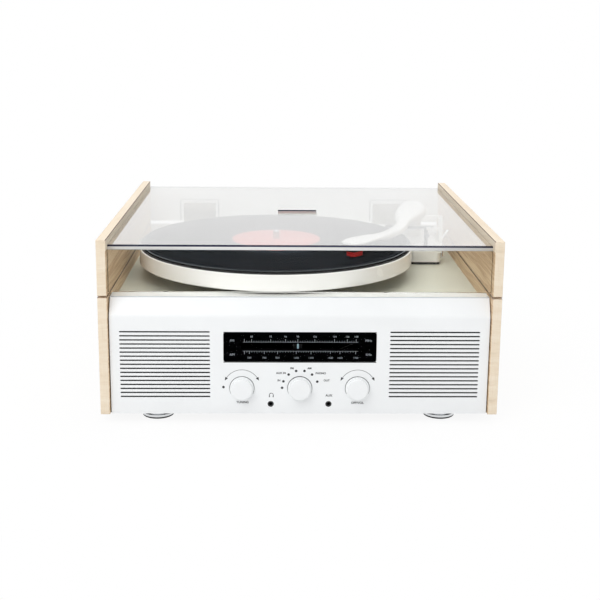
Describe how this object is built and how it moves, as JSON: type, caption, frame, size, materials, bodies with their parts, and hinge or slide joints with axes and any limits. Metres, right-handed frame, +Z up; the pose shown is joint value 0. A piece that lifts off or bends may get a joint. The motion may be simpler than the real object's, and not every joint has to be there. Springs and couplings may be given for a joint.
{
  "type": "turntable with radio",
  "caption": "Wooden-sided belt-drive record player with a hinged clear lid, tonearm, radio dial, control knobs and slotted speaker grilles.",
  "frame": {"origin": "middle of the outer box, at the soles of the feet", "axes": "+X to the right of someone in front of it, +Y to the back, +Z up"},
  "size_m": [0.4, 0.3944, 0.1884],
  "materials": {
    "wood": "clear-lacquered pale plywood",
    "white_plastic": "satin white",
    "deck_plastic": "satin ivory grey",
    "cream_metal": "cream paint",
    "arm_plastic": "satin cream",
    "black_plastic": "fine texture",
    "red_plastic": "glossy",
    "clear_plastic": "clear and polished",
    "smoked_plastic": "clear over a black scale",
    "scale_black": "black with grey printing",
    "pointer_plastic": "pale",
    "vinyl": "grooved",
    "label_paper": "plain red",
    "rubber": "matt black",
    "cord": "braided",
    "cloth": "open weave",
    "cone_paper": "black pulp",
    "steel": "plain",
    "chrome": "polished",
    "brass": "turned",
    "plated": "grey",
    "board": "green laminate"
  },
  "bodies": {
    "case": {"side_boards": "wood", "corner_cleats": "wood", "front_fascia": "white_plastic", "rear_panel": "white_plastic", "bottom_panel": "black_plastic", "deck_plate": "deck_plastic", "tonearm_pedestal": "arm_plastic", "spindle_bearing": "brass", "motor": "steel", "drive_belt": "rubber", "pedestal_gasket": "rubber", "case_screws": "steel", "foot_rings": "chrome", "foot_pads": "rubber", "lid_bumpers": "rubber", "grille_cloths": "cloth", "speaker_frames": "plated", "speaker_cones": "cone_paper", "dial_lens": "smoked_plastic", "dial_scale_plate": "scale_black", "pointer_rail": "steel", "dial_cord": "cord", "control_bracket": "steel", "control_units": "plated", "phone_jacks": "black_plastic", "circuit_board": "board", "power_transformer": "steel", "rear_sockets": "plated", "base_hinge_leaves": "plated"},
    "lid": {"lid_side_boards": "wood", "lid_top_panel": "clear_plastic", "lid_front_panel": "clear_plastic", "lid_rear_panel": "white_plastic", "lid_hinge_clamps": "plated", "lid_hinge_leaves": "plated"},
    "platter_unit": {"spindle": "steel", "platter": "cream_metal", "platter_mat": "rubber", "record": "vinyl", "record_label": "label_paper"},
    "drive_pulley": {"motor_pulley": "brass"},
    "arm_swivel": {"arm_turret": "arm_plastic"},
    "tonearm": {"lift_axle": "steel", "arm_housing": "arm_plastic", "counterweight": "steel", "arm_tube": "arm_plastic", "headshell": "arm_plastic", "cartridge": "black_plastic", "stylus": "red_plastic"},
    "lift_bar": {"cue_lift": "black_plastic"},
    "lift_lever": {"cue_lever": "chrome"},
    "rest_clip": {"arm_clip": "arm_plastic"},
    "speed_slide": {"speed_selector": "black_plastic"},
    "tuning": {"tuning_knob": "white_plastic", "tuning_shaft": "steel"},
    "pointer": {"dial_pointer": "pointer_plastic"},
    "selector": {"selector_knob": "white_plastic", "selector_shaft": "steel"},
    "volume": {"volume_knob": "white_plastic", "volume_shaft": "steel"}
  },
  "joints": [
    {"name": "lid_hinge", "type": "hinge", "parent": "case", "child": "lid", "pos_m": [0, 0.19325, 0.1315], "axis": [-1, 0, 0], "range_deg": [0, 62]},
    {"name": "platter_spin", "type": "hinge", "parent": "case", "child": "platter_unit", "pos_m": [-0.0242, -0.02015, 0.1095], "axis": [0, 0, -1], "continuous": true},
    {"name": "pulley_spin", "type": "hinge", "parent": "case", "child": "drive_pulley", "pos_m": [-0.10905, 0.0647, 0.1245], "axis": [0, 0, -1], "continuous": true},
    {"name": "arm_swing", "type": "hinge", "parent": "case", "child": "arm_swivel", "pos_m": [0.146, 0.09825, 0.1395], "axis": [0, 0, 1], "range_deg": [-16.2, 25.5]},
    {"name": "arm_lift", "type": "hinge", "parent": "arm_swivel", "child": "tonearm", "pos_m": [0.146, 0.09825, 0.1615], "axis": [-0.9703, 0.2419, 0], "range_deg": [0, 2.05]},
    {"name": "cue_lever_turn", "type": "hinge", "parent": "case", "child": "lift_lever", "pos_m": [0.16, 0.03025, 0.1235], "axis": [1, 0, 0], "range_deg": [0, 60]},
    {"name": "lift_bar_rise", "type": "slide", "parent": "case", "child": "lift_bar", "axis": [0, 0, 1], "range_m": [0, 0.00245]},
    {"name": "rest_clip_swing", "type": "hinge", "parent": "case", "child": "rest_clip", "pos_m": [0.16945, 0.02181, 0.1694], "axis": [0, 0, 1], "range_deg": [0, 90]},
    {"name": "speed_select", "type": "slide", "parent": "case", "child": "speed_slide", "axis": [0, 1, 0], "range_m": [0, 0.01]},
    {"name": "tuning_turn", "type": "hinge", "parent": "case", "child": "tuning", "pos_m": [-0.0582, -0.19375, 0.0363], "axis": [0, 1, 0], "range_deg": [-557, 603]},
    {"name": "pointer_slide", "type": "slide", "parent": "case", "child": "pointer", "axis": [1, 0, 0], "range_m": [-0.0555, 0.06]},
    {"name": "selector_turn", "type": "hinge", "parent": "case", "child": "selector", "pos_m": [0, -0.19375, 0.0363], "axis": [0, 1, 0], "range_deg": [0, 159]},
    {"name": "volume_turn", "type": "hinge", "parent": "case", "child": "volume", "pos_m": [0.0582, -0.19375, 0.0363], "axis": [0, 1, 0], "range_deg": [0, 300]}
  ],
  "couplings": [
    {"joint": "pulley_spin", "follows": "platter_spin", "ratio": 17.273},
    {"joint": "arm_lift", "follows": "cue_lever_turn", "ratio": 0.033333},
    {"joint": "lift_bar_rise", "follows": "cue_lever_turn", "m_per_rad": 0.002282},
    {"joint": "pointer_slide", "follows": "tuning_turn", "m_per_rad": 0.0057}
  ]
}
